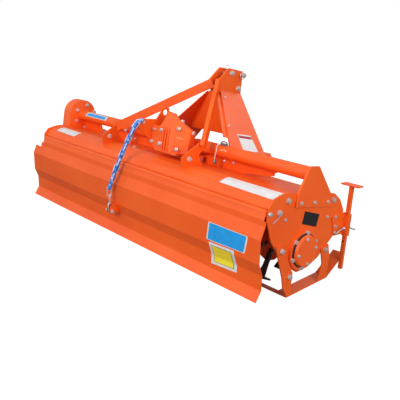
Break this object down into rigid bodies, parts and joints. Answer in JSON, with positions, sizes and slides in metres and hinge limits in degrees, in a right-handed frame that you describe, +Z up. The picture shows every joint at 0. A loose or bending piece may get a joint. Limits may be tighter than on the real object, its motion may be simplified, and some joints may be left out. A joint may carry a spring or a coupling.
{
  "type": "rotary tiller",
  "caption": "Rear-mounted rotary tiller for a tractor: bladed rotor under a bent deck, side gear case, main gearbox, three-point mast, hinged tail board, skids and parking stands.",
  "frame": {"origin": "on the ground, below the middle of the bounding box", "axes": "+X to the machine's right seen from behind, +Y forward in the direction of travel, +Z up"},
  "size_m": [2.642, 0.9115, 1.1635],
  "materials": {
    "orange_paint": "gloss",
    "black_blade": "satin",
    "zinc_steel": "satin",
    "bright_steel": "satin",
    "chain_hose": "satin"
  },
  "bodies": {
    "frame": {"bearing_cover": "orange_paint", "bearing_housing": "orange_paint", "deck": "orange_paint", "gearbox": "orange_paint", "hinge_rod": "zinc_steel", "left_beam_tube": "orange_paint", "left_brace": "orange_paint", "left_brace_foot": "orange_paint", "left_hitch_bracket": "orange_paint", "left_lower_link_pin": "zinc_steel", "left_mast_plate": "orange_paint", "left_side_plate": "orange_paint", "left_skid": "orange_paint", "left_stand_sleeve": "orange_paint", "lifting_plate": "orange_paint", "mast_bolt_1": "zinc_steel", "mast_bolt_2": "zinc_steel", "mast_web": "orange_paint", "right_beam_tube": "orange_paint", "right_brace": "orange_paint", "right_brace_foot": "orange_paint", "right_hitch_bracket": "orange_paint", "right_lower_link_pin": "zinc_steel", "right_mast_plate": "orange_paint", "right_side_plate": "orange_paint", "right_skid": "orange_paint", "right_stand_sleeve": "orange_paint", "side_gear_case": "orange_paint", "side_gear_cover": "orange_paint", "skid_tie_bar": "orange_paint", "support_chain": "chain_hose", "top_link_pin": "zinc_steel", "tube_support": "orange_paint"},
    "rotor": {"rotor_tube": "orange_paint", "right_hand_blades": "black_blade", "left_hand_blades": "black_blade"},
    "input_shaft": {"input_shaft": "bright_steel"},
    "tail_board": {"tail_board": "orange_paint"},
    "right_stand": {"right_stand": "orange_paint"},
    "left_stand": {"left_stand": "orange_paint"}
  },
  "joints": [
    {"name": "rotor_spin", "type": "hinge", "parent": "frame", "child": "rotor", "pos_m": [0, -0.0388, 0.257], "axis": [1, 0, 0], "continuous": true},
    {"name": "input_shaft_spin", "type": "hinge", "parent": "frame", "child": "input_shaft", "pos_m": [0.227, 0.02254, 0.64595], "axis": [0, 0.9763, -0.2164], "continuous": true},
    {"name": "tail_board_hinge", "type": "hinge", "parent": "frame", "child": "tail_board", "pos_m": [0, -0.3188, 0.54], "axis": [-1, 0, 0], "range_deg": [0, 60], "deforming": ["support_chain"]},
    {"name": "right_stand_slide", "type": "slide", "parent": "frame", "child": "right_stand", "axis": [0, 0.1045, 0.9945], "range_m": [-0.025, 0.11]},
    {"name": "left_stand_slide", "type": "slide", "parent": "frame", "child": "left_stand", "axis": [0, 0.1045, 0.9945], "range_m": [-0.025, 0.11]}
  ],
  "couplings": [
    {"joint": "input_shaft_spin", "follows": "rotor_spin", "ratio": 2.4545}
  ]
}
